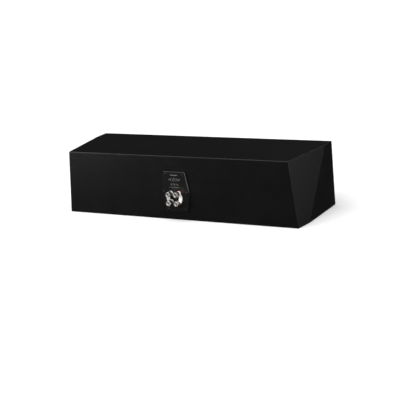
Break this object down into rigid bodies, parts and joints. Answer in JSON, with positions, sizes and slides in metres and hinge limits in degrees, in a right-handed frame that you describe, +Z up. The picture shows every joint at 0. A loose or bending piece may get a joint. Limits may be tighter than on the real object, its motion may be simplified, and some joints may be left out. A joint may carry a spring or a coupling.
{
  "type": "center channel speaker",
  "caption": "Low wide sealed loudspeaker cabinet with slanted rear ends, bass drivers beside a dome tweeter, and a six-sided rear terminal plate with binding posts and bowed jumpers.",
  "frame": {"origin": "middle of the cabinet's underside", "axes": "+Z up, the drivers face -Y, the terminals face +Y, +X along the width"},
  "size_m": [0.7, 0.2399, 0.17],
  "materials": {
    "cabinet_black": "satin black lacquer over fine grain",
    "raw_board": "raw fibreboard",
    "driver_black": "satin black",
    "motor_steel": "zinc plated",
    "ferrite": "matte ceramic",
    "copper_coil": "enamelled copper",
    "spider_cloth": "resin-dipped cloth",
    "cone_black": "coated pulp",
    "surround_rubber": "soft satin",
    "screw_black": "black oxide",
    "dome_silk": "coated silk",
    "foam": "closed-cell foam",
    "terminal_plastic": "semi-gloss moulded",
    "post_metal": "bright nickel plate",
    "red_plastic": "moulded",
    "black_plastic": "moulded",
    "capacitor_film": "wrapped film",
    "ceramic_white": "ceramic",
    "wire_sleeve": "sleeved",
    "wadding": "fibre wadding"
  },
  "bodies": {
    "root": {"back_panel": "cabinet_black", "bass_inductor": "copper_coil", "binding_post_studs": "post_metal", "black_post_bushes": "black_plastic", "bottom_panel": "cabinet_black", "crossover_board": "raw_board", "crossover_capacitors": "capacitor_film", "crossover_resistors": "ceramic_white", "crossover_screws": "motor_steel", "damping_pads": "wadding", "driver_connection_blocks": "black_plastic", "front_baffle": "cabinet_black", "internal_wiring": "wire_sleeve", "left_brace": "raw_board", "left_end_panel": "cabinet_black", "left_woofer_basket": "driver_black", "left_woofer_magnet": "ferrite", "left_woofer_spider": "spider_cloth", "left_woofer_surround": "surround_rubber", "left_woofer_top_plate": "motor_steel", "left_woofer_yoke": "motor_steel", "negative_jumper": "post_metal", "positive_jumper": "post_metal", "post_hex_nuts": "post_metal", "red_post_bushes": "red_plastic", "right_brace": "raw_board", "right_end_panel": "cabinet_black", "right_woofer_basket": "driver_black", "right_woofer_magnet": "ferrite", "right_woofer_spider": "spider_cloth", "right_woofer_surround": "surround_rubber", "right_woofer_top_plate": "motor_steel", "right_woofer_yoke": "motor_steel", "sealing_gaskets": "foam", "solder_tags": "post_metal", "terminal_plate": "terminal_plastic", "terminal_plate_screws": "screw_black", "top_panel": "cabinet_black", "treble_inductor": "copper_coil", "tweeter_diaphragm": "dome_silk", "tweeter_faceplate": "driver_black", "tweeter_magnet": "ferrite", "tweeter_screws": "screw_black", "tweeter_top_plate": "motor_steel", "tweeter_yoke": "motor_steel", "woofer_screws": "screw_black"},
    "left_cone": {"left_woofer_cone": "cone_black", "left_woofer_dust_cap": "cone_black", "left_woofer_voice_coil": "copper_coil"},
    "right_cone": {"right_woofer_cone": "cone_black", "right_woofer_dust_cap": "cone_black", "right_woofer_voice_coil": "copper_coil"},
    "upper_positive_washer": {"upper_positive_washer": "post_metal"},
    "upper_positive_thumb_nut": {"upper_positive_thumb_nut": "post_metal"},
    "lower_positive_washer": {"lower_positive_washer": "post_metal"},
    "lower_positive_thumb_nut": {"lower_positive_thumb_nut": "post_metal"},
    "upper_negative_washer": {"upper_negative_washer": "post_metal"},
    "upper_negative_thumb_nut": {"upper_negative_thumb_nut": "post_metal"},
    "lower_negative_washer": {"lower_negative_washer": "post_metal"},
    "lower_negative_thumb_nut": {"lower_negative_thumb_nut": "post_metal"}
  },
  "joints": [
    {"name": "left_cone_travel", "type": "slide", "parent": "root", "child": "left_cone", "axis": [0, -1, 0], "range_m": [-0.004, 0.004], "stiffness_N_per_m": 1200, "deforming": ["left_woofer_surround", "left_woofer_spider"]},
    {"name": "right_cone_travel", "type": "slide", "parent": "root", "child": "right_cone", "axis": [0, -1, 0], "range_m": [-0.004, 0.004], "stiffness_N_per_m": 1200, "deforming": ["right_woofer_surround", "right_woofer_spider"]},
    {"name": "upper_positive_lift", "type": "slide", "parent": "root", "child": "upper_positive_washer", "axis": [0, 1, 0], "range_m": [0, 0.004]},
    {"name": "upper_positive_turn", "type": "hinge", "parent": "upper_positive_washer", "child": "upper_positive_thumb_nut", "pos_m": [-0.0116, 0.1194, 0.073], "axis": [0, 1, 0], "range_deg": [0, 1440]},
    {"name": "lower_positive_lift", "type": "slide", "parent": "root", "child": "lower_positive_washer", "axis": [0, 1, 0], "range_m": [0, 0.004]},
    {"name": "lower_positive_turn", "type": "hinge", "parent": "lower_positive_washer", "child": "lower_positive_thumb_nut", "pos_m": [-0.0116, 0.1194, 0.0495], "axis": [0, 1, 0], "range_deg": [0, 1440]},
    {"name": "upper_negative_lift", "type": "slide", "parent": "root", "child": "upper_negative_washer", "axis": [0, 1, 0], "range_m": [0, 0.004]},
    {"name": "upper_negative_turn", "type": "hinge", "parent": "upper_negative_washer", "child": "upper_negative_thumb_nut", "pos_m": [0.0116, 0.1194, 0.073], "axis": [0, 1, 0], "range_deg": [0, 1440]},
    {"name": "lower_negative_lift", "type": "slide", "parent": "root", "child": "lower_negative_washer", "axis": [0, 1, 0], "range_m": [0, 0.004]},
    {"name": "lower_negative_turn", "type": "hinge", "parent": "lower_negative_washer", "child": "lower_negative_thumb_nut", "pos_m": [0.0116, 0.1194, 0.0495], "axis": [0, 1, 0], "range_deg": [0, 1440]}
  ],
  "couplings": [
    {"joint": "upper_positive_lift", "follows": "upper_positive_turn", "m_per_rad": 0.00015915},
    {"joint": "lower_positive_lift", "follows": "lower_positive_turn", "m_per_rad": 0.00015915},
    {"joint": "upper_negative_lift", "follows": "upper_negative_turn", "m_per_rad": 0.00015915},
    {"joint": "lower_negative_lift", "follows": "lower_negative_turn", "m_per_rad": 0.00015915}
  ]
}
